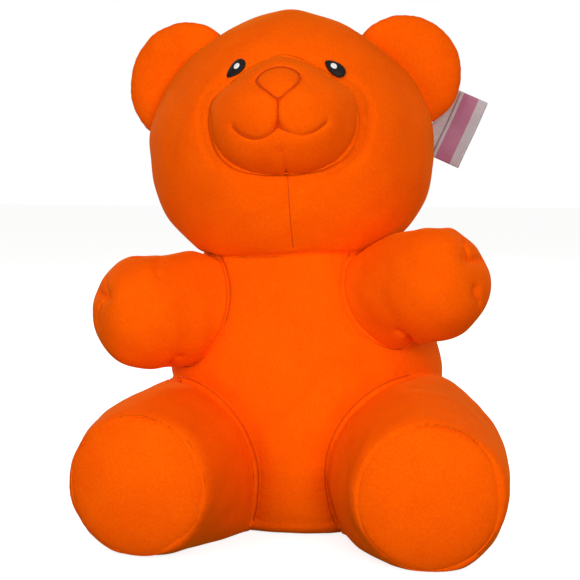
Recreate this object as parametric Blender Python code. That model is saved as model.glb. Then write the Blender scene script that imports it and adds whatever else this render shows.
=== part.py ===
"""A seated plush toy in the shape of a gummy bear, as closed solids at real size.

Metres, +Z up. The bear looks along -Y and its own left is +X. The origin is the middle of the flat
seat under the torso. Every stuffed piece starts as a primitive whose points a function moves to the
piece's form, and pieces that are sewn together keep a small gap where they meet.
"""

import math

import bmesh
import bpy
import numpy as np
from mathutils import Vector

# ---- driving dimensions, metres and degrees ----
GAP = 0.0004  # between two pieces that are sewn together

NECK_HEIGHT = 0.216
LEAN = -0.012  # how far the neck and head sit to the bear's right of the seat

HEAD_HEIGHT = 0.300  # of the head's middle
HEAD_DEPTH_PLACE = -0.004
HEAD_HALF_WIDTH = 0.1135
HEAD_CROWN = 0.104  # from the middle up
HEAD_JAW = 0.107  # from the middle down
HEAD_FRONT = 0.098
HEAD_BACK = 0.096
HEAD_CROWN_POWER = 1.73  # under 2 narrows the crown
HEAD_JAW_POWER = 2.16  # over 2 fills the cheeks
HEAD_THROAT = 0.020  # how far the underside leans forward
HEAD_TURN = 4.0
HEAD_TILT = -2.2

MUZZLE_HEIGHT = 0.0205  # above the head's middle
MUZZLE_HALF_WIDTH = 0.0555
MUZZLE_UP = 0.0440
MUZZLE_DOWN = 0.0450
MUZZLE_BROW_POWER = 1.5
MUZZLE_CHIN_POWER = 2.5
MUZZLE_BULGE = 0.034
MUZZLE_RISE = 14.0  # the angle by which the snout points up

# middle from the head's middle, the radii along and across the ear's base, and the base's slope
EARS = {
    "right": {"middle": (-0.0862, 0.0520), "along": 0.0490, "across": 0.0438, "slope": 50.0},
    "left": {"middle": (0.0912, 0.0515), "along": 0.0458, "across": 0.0460, "slope": -51.0},
}
EAR_THICKNESS = 0.034
EAR_DEPTH_PLACE = 0.006
EAR_TURN = 14.0  # how far an ear faces outwards

EYES = {"right": (-0.0352, 0.0562), "left": (0.0386, 0.0545)}  # from the head's middle
EYE_LENGTH = 0.0172
EYE_WIDTH = 0.0102
EYE_SLANT = 42.0
EYE_TAPER = 0.22
EYE_THICKNESS = 0.0012
GLINT_LENGTH = 0.0052
GLINT_WIDTH = 0.0036
GLINT_THICKNESS = 0.0006

# height, half width, reach forward, reach back
TORSO_STATIONS = (
    (0.000, 0.086, 0.073, 0.066),
    (0.010, 0.100, 0.084, 0.080),
    (0.045, 0.109, 0.094, 0.091),
    (0.090, 0.113, 0.0975, 0.094),
    (0.136, 0.107, 0.095, 0.086),
    (0.178, 0.090, 0.087, 0.068),
    (0.216, 0.0712, 0.0765, 0.0425),
)
TORSO_POWER = 2.12
TORSO_LEAN_FROM = 0.07

# share of the length, half width, half height
LEG_STATIONS = (
    (0.00, 0.020, 0.018),
    (0.05, 0.042, 0.038),
    (0.15, 0.058, 0.053),
    (0.32, 0.0660, 0.0640),
    (0.55, 0.0676, 0.0650),
    (0.80, 0.0630, 0.0620),
    (0.96, 0.0550, 0.0555),
    (1.00, 0.0530, 0.0525),
)
# buttock, knee and sole middle, how much taller than the stations, and which way the sole faces
LEGS = {
    "right": {
        "back": (-0.058, 0.045, 0.049),
        "knee": (-0.094, -0.030, 0.051),
        "sole": (-0.1045, -0.1560, 0.0530),
        "taller": 0.98,
        "turn": -7.0,
    },
    "left": {
        "back": (0.058, 0.045, 0.051),
        "knee": (0.091, -0.030, 0.055),
        "sole": (0.1065, -0.1650, 0.0530),
        "taller": 1.03,
        "turn": 5.0,
    },
}
SOLE_DOME = 0.010
SOLE_RADIUS = 0.0508

# shoulder and paw middle
ARMS = {
    "right": {"shoulder": (-0.050, -0.022, 0.174), "paw": (-0.1120, -0.0740, 0.1725)},
    "left": {"shoulder": (0.047, -0.026, 0.179), "paw": (0.1030, -0.0840, 0.1955)},
}
ARM_PAW_RADIUS = 0.0430
ARM_ROOT_HEIGHT = 0.0470
ARM_WRIST = 0.94  # how far the arm narrows between shoulder and paw

LABEL_LENGTH = 0.057
LABEL_WIDTH = 0.022
LABEL_BACK_WIDTH = 0.046  # drawn into the head, which cuts it off at the seam
LABEL_THICKNESS = 0.0008
LABEL_FOLD = 0.0024
LABEL_PLACE = (0.1285, 0.0340, 0.3060)
LABEL_SLANT = 24.0
LABEL_TURN = -10.0

PLUSH = (1.0, 0.120, 0.002)


# ---- scene, materials and small helpers ----
def clear_scene():
    for obj in list(bpy.data.objects):
        bpy.data.objects.remove(obj, do_unlink=True)


def new_collection(name):
    found = bpy.data.collections.new(name)
    bpy.context.scene.collection.children.link(found)
    return found


def material(name, colour, roughness):
    made = bpy.data.materials.new(name)
    made.use_nodes = True
    shader = made.node_tree.nodes["Principled BSDF"]
    shader.inputs["Base Color"].default_value = (*colour, 1.0)
    shader.inputs["Roughness"].default_value = roughness
    shader.inputs["Metallic"].default_value = 0.0
    return made


def smooth(low, high, value):
    """0 below low, 1 above high, and an even ramp with no corners between."""
    share = np.clip((value - low) / (high - low), 0.0, 1.0)
    return share * share * (3.0 - 2.0 * share)


def through(stations, value, column):
    """A smooth curve through a column of stations, as cubic pieces with no overshoot at the ends."""
    at = np.array([row[0] for row in stations])
    held = np.array([row[column] for row in stations])
    slope = np.gradient(held, at)
    piece = np.clip(np.searchsorted(at, value, side="right") - 1, 0, len(at) - 2)
    step = at[piece + 1] - at[piece]
    share = np.clip((value - at[piece]) / step, 0.0, 1.0)
    ahead = share * share * (3.0 - 2.0 * share)
    leave = share * (1.0 - share) ** 2 * slope[piece] * step
    arrive = share * share * (share - 1.0) * slope[piece + 1] * step
    return held[piece] + (held[piece + 1] - held[piece]) * ahead + leave + arrive


def placed(name, mesh, finish, collection):
    obj = bpy.data.objects.new(name, mesh)
    obj.data.materials.append(finish)
    collection.objects.link(obj)
    return obj


def stuffed(name, warp, segments, rings, finish, collection):
    """A closed form: a unit sphere, each of whose points warp moves."""
    shape = bmesh.new()
    bmesh.ops.create_uvsphere(shape, u_segments=segments, v_segments=rings, radius=1.0)
    return moulded(name, shape, warp, finish, collection)


def barrel(name, warp, segments, rings, finish, collection):
    """A closed form with flat ends: a cylinder ringed along its length, each of whose points warp moves."""
    shape = bmesh.new()
    bmesh.ops.create_cone(
        shape, segments=segments, cap_ends=True, radius1=1.0, radius2=1.0, depth=1.0
    )
    upright = [e for e in shape.edges if abs(e.verts[0].co.z - e.verts[1].co.z) > 0.5]
    bmesh.ops.subdivide_edges(shape, edges=upright, cuts=rings, use_grid_fill=True)
    return moulded(name, shape, warp, finish, collection)


def moulded(name, shape, warp, finish, collection):
    points = np.array([v.co[:] for v in shape.verts])
    for vert, point in zip(shape.verts, warp(points)):
        vert.co = point
    if shape.calc_volume(signed=True) < 0.0:
        bmesh.ops.reverse_faces(shape, faces=shape.faces)
    mesh = bpy.data.meshes.new(name)
    shape.to_mesh(mesh)
    shape.free()
    mesh.shade_smooth()
    mesh.set_sharp_from_angle(angle=math.radians(50))
    return placed(name, mesh, finish, collection)


def cutter_box(name, low, high, cutters):
    shape = bmesh.new()
    bmesh.ops.create_cube(shape, size=1.0)
    middle = (Vector(low) + Vector(high)) / 2
    for vert in shape.verts:
        vert.co = middle + Vector(a * (h - l) for a, h, l in zip(vert.co, high, low))
    mesh = bpy.data.meshes.new(name)
    shape.to_mesh(mesh)
    shape.free()
    return as_cutter(bpy.data.objects.new(name, mesh), cutters)


def as_cutter(obj, cutters):
    cutters.objects.link(obj)
    obj.hide_render = True
    obj.display_type = "WIRE"
    return obj


def grown_copy(source, cutters):
    """A cutter that stands GAP outside a finished piece."""
    obj = as_cutter(source.copy(), cutters)
    obj.name = source.name + "_grown"
    swell = obj.modifiers.new("Gap", "DISPLACE")
    swell.strength = GAP
    swell.mid_level = 0.0
    return obj


def cut(obj, cutter):
    trim = obj.modifiers.new("Cut by " + cutter.name, "BOOLEAN")
    trim.operation = "DIFFERENCE"
    trim.solver = "EXACT"
    trim.object = cutter


# ---- head ----
def head_half_width(level):
    """Half width at a level from -1, the underside, to 1, the crown."""
    power = HEAD_CROWN_POWER + (HEAD_JAW_POWER - HEAD_CROWN_POWER) * smooth(0.30, -0.30, level)
    rest = np.clip(1.0 - np.abs(level) ** power, 0.0, 1.0)
    return HEAD_HALF_WIDTH * rest ** (1.0 / power)


def head_round(level):
    return np.sqrt(np.clip(1.0 - level**2, 0.0, 1.0))


def head_warp(points):
    """At each level an ellipse whose underside leans forward over the throat."""
    level = points[:, 2]
    angle = np.arctan2(points[:, 1], points[:, 0])
    reach = np.where(points[:, 1] < 0, HEAD_FRONT, HEAD_BACK)
    return np.column_stack(
        (
            head_half_width(level) * np.cos(angle),
            reach * head_round(level) * np.sin(angle) - throat(level),
            head_up(level),
        )
    )


def head_up(level):
    return np.where(level > 0, HEAD_CROWN, HEAD_JAW) * level


def throat(level):
    return HEAD_THROAT * np.clip(-level, 0.0, 1.0) ** 1.6


def head_front(across, up):
    """How far the head's front stands behind its middle plane at a place seen from the front."""
    level = np.clip(up / np.where(up > 0, HEAD_CROWN, HEAD_JAW), -0.999, 0.999)
    side = np.clip(across / head_half_width(level), -0.98, 0.98)
    return -HEAD_FRONT * head_round(level) * np.sqrt(1.0 - side**2) - throat(level)


def muzzle_seam(angle):
    """The seam's distance from the muzzle's middle, seen from the front."""
    power = MUZZLE_CHIN_POWER + (MUZZLE_BROW_POWER - MUZZLE_CHIN_POWER) * smooth(
        -0.35, 0.60, np.sin(angle)
    )
    tall = np.where(np.sin(angle) > 0, MUZZLE_UP, MUZZLE_DOWN)
    across = np.abs(np.cos(angle) / MUZZLE_HALF_WIDTH) ** power
    return (across + np.abs(np.sin(angle) / tall) ** power) ** (-1.0 / power)


def muzzle_warp(points):
    """A cushion on the head's front, edged by the seam and swelling along the snout."""
    angle = np.arctan2(points[:, 2], points[:, 0])
    spread = np.hypot(points[:, 0], points[:, 2]) * muzzle_seam(angle)
    across = spread * np.cos(angle)
    up = MUZZLE_HEIGHT + spread * np.sin(angle)
    ahead = np.clip(-points[:, 1], 0.0, 1.0)
    sunk = np.clip(points[:, 1], 0.0, 1.0) * 0.02
    swell = MUZZLE_BULGE * ahead**0.85
    rise = math.radians(MUZZLE_RISE)
    return np.column_stack(
        (
            across,
            head_front(across, up) - swell * math.cos(rise) + sunk,
            up + swell * math.sin(rise),
        )
    )


def ear_warp(ear):
    """An oval cushion, thinner at its rim, that stands on its edge."""
    slope = math.radians(ear["slope"])

    def warp(points):
        middle = 1.0 - np.hypot(points[:, 0], points[:, 2]) ** 2
        thick = 0.5 * EAR_THICKNESS * np.sign(points[:, 1]) * np.clip(middle, 0.0, 1.0) ** 0.42
        along = points[:, 0] * ear["along"]
        across = points[:, 2] * ear["across"]
        return np.column_stack(
            (
                along * math.cos(slope) - across * math.sin(slope),
                thick,
                along * math.sin(slope) + across * math.cos(slope),
            )
        )

    return warp


def eye_warp(place, length, width, low, thick, taper):
    """A thin drop that follows the head's front, its point down and outwards."""
    slant = math.radians(EYE_SLANT)
    side = math.copysign(1.0, place[0])

    def warp(points):
        along = points[:, 2] * length / 2
        wide = points[:, 0] * width / 2 * (1.0 + taper * points[:, 2])
        across = place[0] + side * (wide * math.cos(slant) - along * math.sin(slant))
        up = place[1] + along * math.cos(slant) + wide * math.sin(slant)
        height = low + thick * np.clip(-points[:, 1], 0.0, 1.0)
        step = 1e-4
        front = head_front(across, up)
        lean_x = (head_front(across + step, up) - front) / step
        lean_z = (head_front(across, up + step) - front) / step
        size = np.sqrt(1.0 + lean_x**2 + lean_z**2)
        return np.column_stack(
            (
                across + height * lean_x / size,
                front - height / size,
                up + height * lean_z / size,
            )
        )

    return warp


def make_head(finishes, parts, cutters, boxes):
    pose = bpy.data.objects.new("head_pose", None)
    parts.objects.link(pose)
    pose.location = (LEAN, HEAD_DEPTH_PLACE, HEAD_HEIGHT)
    pose.rotation_euler = (0.0, math.radians(HEAD_TILT), math.radians(HEAD_TURN))

    head = stuffed("head", head_warp, 40, 24, finishes["plush"], parts)
    head.parent = pose
    cut(head, boxes["under_neck"])
    head_grown = grown_copy(head, cutters)
    head_grown.modifiers.remove(head_grown.modifiers[0])

    muzzle = stuffed("muzzle", muzzle_warp, 32, 16, finishes["plush"], parts)
    muzzle.parent = pose
    cut(muzzle, head_grown)

    for name, sizes in EARS.items():
        across, up = sizes["middle"]
        ear = stuffed("ear_" + name, ear_warp(sizes), 26, 14, finishes["plush"], parts)
        ear.parent = pose
        ear.location = (across, EAR_DEPTH_PLACE, up)
        ear.rotation_euler = (0.0, 0.0, math.copysign(math.radians(EAR_TURN), across))
        cut(ear, head_grown)

    for name, place in EYES.items():
        dark = eye_warp(place, EYE_LENGTH, EYE_WIDTH, GAP, EYE_THICKNESS, EYE_TAPER)
        eye = stuffed("eye_" + name, dark, 16, 8, finishes["eye"], parts)
        over = EYE_THICKNESS + 2 * GAP
        light = eye_warp(place, GLINT_LENGTH, GLINT_WIDTH, over, GLINT_THICKNESS, 0.0)
        glint = stuffed("eye_glint_" + name, light, 12, 6, finishes["glint"], parts)
        eye.parent = pose
        glint.parent = pose
    return head_grown


# ---- torso ----
def lean_at(height):
    return LEAN * smooth(TORSO_LEAN_FROM, HEAD_HEIGHT, height)


def torso_warp(points):
    """Rounded ovals stacked from the seat to the neck seam, leaning to the bear's right."""
    height = (points[:, 2] + 0.5) * NECK_HEIGHT
    # rings crowd towards the seat, where the outline turns fastest
    height = NECK_HEIGHT * (height / NECK_HEIGHT) ** 1.35
    angle = np.arctan2(points[:, 1], points[:, 0])
    wide = through(TORSO_STATIONS, height, 1)
    reach = np.where(
        points[:, 1] < 0, through(TORSO_STATIONS, height, 2), through(TORSO_STATIONS, height, 3)
    )
    power = 2.0 / TORSO_POWER
    across = np.sign(np.cos(angle)) * np.abs(np.cos(angle)) ** power
    ahead = np.sign(np.sin(angle)) * np.abs(np.sin(angle)) ** power
    return np.column_stack((wide * across + lean_at(height), reach * ahead, height))


def make_torso(finishes, parts):
    return barrel("torso", torso_warp, 42, 15, finishes["plush"], parts)


# ---- legs ----
def facing_of(leg):
    turn = math.radians(leg["turn"])
    return Vector((math.sin(turn), -math.cos(turn), 0.0))


def leg_warp(leg):
    """Ovals carried along a bend from the buttock past the knee to the flat end under the sole."""
    back, knee, sole = (np.array(leg[place]) for place in ("back", "knee", "sole"))
    facing = np.array(facing_of(leg))

    def warp(points):
        share = points[:, 2] + 0.5
        # stations crowd at the round back end and at the rim of the sole
        share = 0.5 - 0.5 * np.cos(math.pi * share)
        at = share[:, None]
        middle = back * (1 - at) ** 2 + 2 * knee * at * (1 - at) + sole * at**2
        ahead = 2 * (knee - back) * (1 - at) + 2 * (sole - knee) * at
        ahead /= np.linalg.norm(ahead, axis=1)[:, None]
        ahead += (facing - ahead) * smooth(0.7, 1.0, share)[:, None]
        across = np.cross(ahead, (0.0, 0.0, 1.0))
        across /= np.linalg.norm(across, axis=1)[:, None]
        wide = through(LEG_STATIONS, share, 1) * points[:, 0]
        tall = leg["taller"] * through(LEG_STATIONS, share, 2) * points[:, 1]
        moved = middle + wide[:, None] * across
        moved[:, 2] += tall
        return moved

    return warp


def sole_warp(points):
    """A shallow dome, flat behind."""
    rise = np.where(points[:, 2] > 0, points[:, 2], 0.0) ** 0.8 * SOLE_DOME
    return np.column_stack((points[:, 0] * SOLE_RADIUS, points[:, 1] * SOLE_RADIUS, rise))


def make_legs(finishes, parts, boxes, torso_grown):
    for name, leg in LEGS.items():
        limb = barrel("leg_" + name, leg_warp(leg), 30, 12, finishes["plush"], parts)
        cut(limb, torso_grown)
        cut(limb, boxes["under_floor"])
        sole = stuffed("sole_" + name, sole_warp, 30, 8, finishes["plush"], parts)
        sole.location = Vector(leg["sole"]) + facing_of(leg) * GAP
        sole.rotation_mode = "QUATERNION"
        sole.rotation_quaternion = facing_of(leg).to_track_quat("Z", "Y")


# ---- arms ----
def arm_warp(arm):
    """A stubby arm: a thick root that narrows a little at the wrist and ends in a round paw."""
    shoulder, paw = np.array(arm["shoulder"]), np.array(arm["paw"])
    reach = np.linalg.norm(paw - shoulder)
    ahead = (paw - shoulder) / reach
    across = np.cross((0.0, 0.0, 1.0), ahead)
    across /= np.linalg.norm(across)
    upward = np.cross(ahead, across)

    def warp(points):
        # the sphere's upper half is the paw, its lower half is drawn out to the shoulder
        along = np.where(
            points[:, 2] > 0, reach + points[:, 2] * ARM_PAW_RADIUS, reach * (1 + points[:, 2])
        )
        ring = np.hypot(points[:, 0], points[:, 1])
        root = smooth(0.75, 0.0, along / reach)
        full = np.where(points[:, 2] > 0, ring, np.clip(ring * 2.2, 0.0, 1.0))
        tall = (ARM_PAW_RADIUS + (ARM_ROOT_HEIGHT - ARM_PAW_RADIUS) * root) * full
        waist = 1.0 - (1.0 - ARM_WRIST) * np.exp(-(((along / reach) - 0.55) ** 2) / 0.06)
        turn = np.arctan2(points[:, 1], points[:, 0])
        side = np.cos(turn) * tall * waist * 0.96
        up = np.sin(turn) * tall * waist
        return shoulder + along[:, None] * ahead + side[:, None] * across + up[:, None] * upward

    return warp


def make_arms(finishes, parts, torso_grown, head_grown):
    for name, arm in ARMS.items():
        limb = stuffed("arm_" + name, arm_warp(arm), 26, 16, finishes["plush"], parts)
        cut(limb, torso_grown)
        cut(limb, head_grown)


# ---- label ----
def ribbon_outline():
    """Both faces of a ribbon that turns back on itself: out along one side and home along the other."""
    turn = LABEL_FOLD / 2
    outer, inner = turn + LABEL_THICKNESS / 2, turn - LABEL_THICKNESS / 2
    bend = [math.pi * step / 8 for step in range(9)]
    out = [(-LABEL_BACK_WIDTH, outer)]
    out += [(outer * math.sin(a), outer * math.cos(a)) for a in bend]
    out += [(-LABEL_WIDTH, -outer), (-LABEL_WIDTH, -inner)]
    home = [(inner * math.sin(a), inner * math.cos(a)) for a in reversed(bend)]
    return out + home + [(-LABEL_BACK_WIDTH, inner)]


def make_label(finishes, parts, head_grown):
    outline = ribbon_outline()
    curve = bpy.data.curves.new("ribbon", "CURVE")
    curve.dimensions = "2D"
    curve.fill_mode = "BOTH"
    curve.extrude = LABEL_LENGTH / 2
    line = curve.splines.new("POLY")
    line.points.add(len(outline) - 1)
    for point, (across, ahead) in zip(line.points, outline):
        point.co = (across, ahead, 0.0, 1.0)
    line.use_cyclic_u = True
    ribbon = placed("ribbon", curve, finishes["label"], parts)
    bpy.context.view_layer.update()
    graph = bpy.context.evaluated_depsgraph_get()
    mesh = bpy.data.meshes.new_from_object(ribbon.evaluated_get(graph))
    bpy.data.objects.remove(ribbon, do_unlink=True)
    shape = bmesh.new()
    shape.from_mesh(mesh)
    bmesh.ops.remove_doubles(shape, verts=shape.verts, dist=0.00005)
    shape.to_mesh(mesh)
    shape.free()
    label = bpy.data.objects.new("label", mesh)
    parts.objects.link(label)
    label.location = LABEL_PLACE
    label.rotation_euler = (0.0, math.radians(LABEL_SLANT), math.radians(LABEL_TURN))
    cut(label, head_grown)


def main():
    clear_scene()
    parts = new_collection("plush_gummy_bear")
    cutters = new_collection("cutters")
    finishes = {
        "plush": material("plush", PLUSH, 0.9),
        "eye": material("eye_thread", (0.012, 0.008, 0.008), 0.5),
        "glint": material("glint_thread", (0.85, 0.85, 0.85), 0.5),
        "label": material("satin_ribbon", (0.55, 0.5, 0.52), 0.45),
    }
    far = 0.5
    boxes = {
        "under_neck": cutter_box(
            "under_neck", (-far, -far, -far), (far, far, NECK_HEIGHT + GAP), cutters
        ),
        "under_floor": cutter_box("under_floor", (-far, -far, -far), (far, far, 0.0), cutters),
    }
    head_grown = make_head(finishes, parts, cutters, boxes)
    torso_grown = grown_copy(make_torso(finishes, parts), cutters)
    make_legs(finishes, parts, boxes, torso_grown)
    make_arms(finishes, parts, torso_grown, head_grown)
    make_label(finishes, parts, head_grown)


main()
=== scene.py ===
import math

import bpy
import numpy as np
from mathutils import Matrix


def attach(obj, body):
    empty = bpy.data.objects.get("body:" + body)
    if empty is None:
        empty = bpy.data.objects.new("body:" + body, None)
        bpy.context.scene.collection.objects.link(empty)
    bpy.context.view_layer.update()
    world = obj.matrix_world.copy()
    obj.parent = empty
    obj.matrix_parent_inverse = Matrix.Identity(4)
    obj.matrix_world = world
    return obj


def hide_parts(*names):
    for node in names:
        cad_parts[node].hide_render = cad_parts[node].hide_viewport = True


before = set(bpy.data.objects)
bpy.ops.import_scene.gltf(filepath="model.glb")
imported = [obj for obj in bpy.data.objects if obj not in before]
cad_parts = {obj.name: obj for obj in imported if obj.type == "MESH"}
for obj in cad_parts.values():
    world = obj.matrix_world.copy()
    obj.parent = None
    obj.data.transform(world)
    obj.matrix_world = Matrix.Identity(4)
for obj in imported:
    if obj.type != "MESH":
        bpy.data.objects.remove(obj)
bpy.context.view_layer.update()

# a seated plush toy in the shape of a gummy bear. The bear looks along -Y, its own left is +X,
# it sits on z = 0, and everything is in metres
print("frame loaded")


# small numpy helpers, all on whole arrays

def ramp(low, high, value):
    # 0 below low, 1 above high, 3t^2 - 2t^3 between
    share = np.clip((value - low) / (high - low), 0.0, 1.0)
    return share * share * (3.0 - 2.0 * share)


upright = np.array((0.0, 0.0, 1.0))


def unit(vectors):
    return vectors / np.maximum(np.linalg.norm(vectors, axis=-1, keepdims=True), 1e-12)


def turned(around, over):
    # a rotation in degrees about Y, then about Z
    return np.array(Matrix.Rotation(math.radians(around), 3, "Z")
                    @ Matrix.Rotation(math.radians(over), 3, "Y"))


def stationCurve(at, held, value):
    # cubic Hermite pieces through the stations, each slope taken from the two stations beside it
    at, held = np.asarray(at, float), np.asarray(held, float)
    slope = np.gradient(held, at)
    piece = np.clip(np.searchsorted(at, value, side="right") - 1, 0, len(at) - 2)
    step = at[piece + 1] - at[piece]
    share = np.clip((value - at[piece]) / step, 0.0, 1.0)
    rise = (held[piece + 1] - held[piece]) * share * share * (3.0 - 2.0 * share)
    leave = share * (1.0 - share) ** 2 * slope[piece] * step
    arrive = share * share * (share - 1.0) * slope[piece + 1] * step
    return held[piece] + rise + leave + arrive


def softNoise(points, size, seed, waves=16):
    # sine waves in random directions, their lengths spread around one size; runs from about -1 to 1
    dice = np.random.default_rng(seed)
    directions = unit(dice.normal(size=(waves, 3)))
    lengths = size * dice.uniform(0.7, 1.6, waves)
    starts = dice.uniform(0.0, 2.0 * math.pi, waves)
    total = 0.0
    for direction, length, start in zip(directions, lengths, starts):
        total = total + np.sin(points @ direction * (2.0 * math.pi / length) + start)
    return total / math.sqrt(waves)


def signedPower(value, power):
    return np.sign(value) * np.abs(value) ** power


def fullTurn(count):
    return np.linspace(0.0, 2.0 * math.pi, count, endpoint=False)


def gridNormals(grid):
    # cross product of the central differences along the rows and around the columns
    along = np.gradient(grid, axis=0)
    around = np.roll(grid, -1, axis=1) - np.roll(grid, 1, axis=1)
    normals = unit(np.cross(around, along))
    normals[0], normals[-1] = unit(normals[1].mean(0)), unit(normals[-2].mean(0))
    outward = (normals * (grid - grid.reshape(-1, 3).mean(0))).sum()
    return normals if outward > 0 else -normals


def asLists(grid):
    return grid.reshape(-1, 3), gridNormals(grid).reshape(-1, 3)


def seamReach(points, seam):
    # for each point the distance to the seam's nearest point, and how far along the seam that is
    arc = np.concatenate(([0.0], np.cumsum(np.linalg.norm(np.diff(seam, axis=0), axis=1))))
    distance, place = np.empty(len(points)), np.empty(len(points))
    for first in range(0, len(points), 8000):
        part = points[first:first + 8000]
        squares = (part**2).sum(1)[:, None] + (seam**2).sum(1) - 2.0 * part @ seam.T
        nearest = squares.argmin(1)
        distance[first:first + 8000] = np.sqrt(np.maximum(squares[np.arange(len(part)), nearest], 0))
        place[first:first + 8000] = arc[nearest]
    return distance, place


sewing = {
    "floorFrom": -0.002, "floorTo": 0.014,  # no seam pulls where the toy rests on the floor
    "puckerSpacing": 0.009, "puckerFade": 0.006, "puckerStart": 0.0015,
    # past a limb's seam it stands this clear of its neighbour, and before it lies this far under
    "clear": 0.0012, "clearLength": 0.006, "under": 0.0080, "underLength": 0.004,
    "heldTo": 0.02, "freeFrom": 0.06,  # distances from the seam between which that hold lets go
}


def seamOf(curve, groove, valley, reach, pucker=0.0, width=0.0017):
    return {"curve": curve, "groove": groove, "width": width, "valley": valley, "reach": reach,
            "pucker": pucker}


def sewIn(grid, seams):
    # pulls a surface in along each seam: a narrow groove, exp(-(d/w)^2), in a wide soft valley of
    # the same form, with puckers across the seam, a sine along it that dies away with distance
    points, normals = asLists(grid)
    moved = np.zeros(len(points))
    for seam in seams:
        distance, place = seamReach(points, seam["curve"])
        held = ramp(sewing["floorFrom"], sewing["floorTo"], points[:, 2])
        moved += held * seam["groove"] * np.exp(-(distance / seam["width"]) ** 2)
        moved += held * seam["valley"] * np.exp(-(distance / seam["reach"]) ** 2)
        # two slower sines spread the puckers unevenly
        wander = place * (2.0 * math.pi / sewing["puckerSpacing"])
        wander = wander + 1.6 * np.sin(wander * 0.31) + 1.1 * np.sin(wander * 0.13 + 2.0)
        fade = np.exp(-distance / sewing["puckerFade"])
        fade = fade * (1.0 - np.exp(-(distance / sewing["puckerStart"]) ** 2))
        moved += held * seam["pucker"] * fade * np.sin(wander)
    return (points - normals * moved[:, None]).reshape(grid.shape)


def smoothPath(points, count, closed=False):
    # Catmull-Rom through the points
    points = np.asarray(points, float)
    if closed:
        held = np.vstack((points[-1:], points, points[:2]))
        pieces = len(points)
    else:
        held = np.vstack((2 * points[:1] - points[1:2], points, 2 * points[-1:] - points[-2:-1]))
        pieces = len(points) - 1
    at = np.linspace(0.0, pieces, count, endpoint=not closed)
    piece = np.minimum(at.astype(int), pieces - 1)
    t = (at - piece)[:, None]
    a, b, c, d = (held[piece + k] for k in range(4))
    return 0.5 * (2 * b + (c - a) * t + (2 * a - 5 * b + 4 * c - d) * t**2
                  + (3 * b - a - 3 * c + d) * t**3)


# meshes

def makeMesh(name, points, faces, material):
    mesh = bpy.data.meshes.new(name)
    mesh.from_pydata(points, [], faces)
    mesh.polygons.foreach_set("use_smooth", np.ones(len(mesh.polygons), bool))
    mesh.materials.append(material)
    mesh.update()
    piece = bpy.data.objects.new(name, mesh)
    bpy.context.scene.collection.objects.link(piece)
    return piece


def closedSkin(name, grid, material):
    # rows run from pole to pole and columns wrap round; each end row becomes one pole point
    rows, columns = grid.shape[:2]
    points = np.vstack((grid[0].mean(0), grid[1:-1].reshape(-1, 3), grid[-1].mean(0)))
    near = 1 + np.arange(rows - 3)[:, None] * columns + np.arange(columns)
    far = 1 + np.arange(rows - 3)[:, None] * columns + (np.arange(columns) + 1) % columns
    quads = np.stack((near, far, far + columns, near + columns), axis=-1).reshape(-1, 4)
    ring = np.arange(columns)
    after = (ring + 1) % columns
    last = 1 + (rows - 3) * columns
    first = np.stack((np.zeros_like(ring), after + 1, ring + 1), axis=-1)
    end = np.stack((np.full_like(ring, len(points) - 1), ring + last, after + last), axis=-1)
    corners = points[quads[:, [0, 1, 2]]]
    volume = np.einsum("ij,ij->", corners[:, 0], np.cross(corners[:, 1], corners[:, 2]))
    faces = quads.tolist() + first.tolist() + end.tolist()
    if volume < 0:
        faces = [face[::-1] for face in faces]
    return makeMesh(name, points, faces, material)


def tube(path, radius, sides, closed):
    # circles of one radius across the path, kept from twisting by one fixed side direction each
    ahead = np.gradient(path, axis=0)
    if closed:
        ahead = np.roll(path, -1, axis=0) - np.roll(path, 1, axis=0)
    ahead = unit(ahead)
    side = unit(np.cross(ahead, path - path.mean(0) + 1e-5))
    over = np.cross(side, ahead)
    turn = fullTurn(sides)
    ring = np.cos(turn)[None, :, None] * side[:, None] + np.sin(turn)[None, :, None] * over[:, None]
    points = (path[:, None] + radius * ring).reshape(-1, 3)
    count = len(path)
    row = np.arange(count if closed else count - 1)[:, None]
    column = np.arange(sides)
    following = (row + 1) % count
    beside = (column + 1) % sides
    quads = np.stack((row * sides + column, row * sides + beside,
                      following * sides + beside, following * sides + column), axis=-1)
    faces = quads.reshape(-1, 4).tolist()
    if not closed:
        faces += [list(range(sides))[::-1], list(range((count - 1) * sides, count * sides))]
    return points, faces


def tubes(name, paths, radius, material, sides=6):
    # several tubes in one mesh; each path comes with whether it closes on itself
    points, faces = [], []
    for path, closed in paths:
        some, more = tube(path, radius, sides, closed)
        first = sum(len(done) for done in points)
        points.append(some)
        faces += [[corner + first for corner in face] for face in more]
    return makeMesh(name, np.vstack(points), faces, material)


# materials

def linear(colour):
    # an sRGB hex value as the linear numbers that a shader takes
    channels = [int(colour[at:at + 2], 16) / 255 for at in (0, 2, 4)]
    return [c / 12.92 if c <= 0.04045 else ((c + 0.055) / 1.055) ** 2.4 for c in channels] + [1.0]


def add(tree, kind, sockets=None, **settings):
    # one node: its properties, then each input as a constant or as a link from another socket
    made = tree.nodes.new(kind)
    for name, value in settings.items():
        setattr(made, name, value)
    for name, value in (sockets or {}).items():
        if isinstance(value, bpy.types.NodeSocket):
            tree.links.new(value, made.inputs[name])
        else:
            made.inputs[name].default_value = value
    return made


def newMaterial(name):
    made = bpy.data.materials.new(name)
    made.use_nodes = True
    made.node_tree.nodes.remove(made.node_tree.nodes["Principled BSDF"])
    return made, made.node_tree, made.node_tree.nodes["Material Output"]


plush = {
    "deep": "F55300",  # pile brushed away from the eye
    "bright": "FE6200",  # pile brushed towards the eye
    "napSize": 0.030,
    "pileSize": 0.0017,
    "clumpSize": 0.0045,
}


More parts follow.
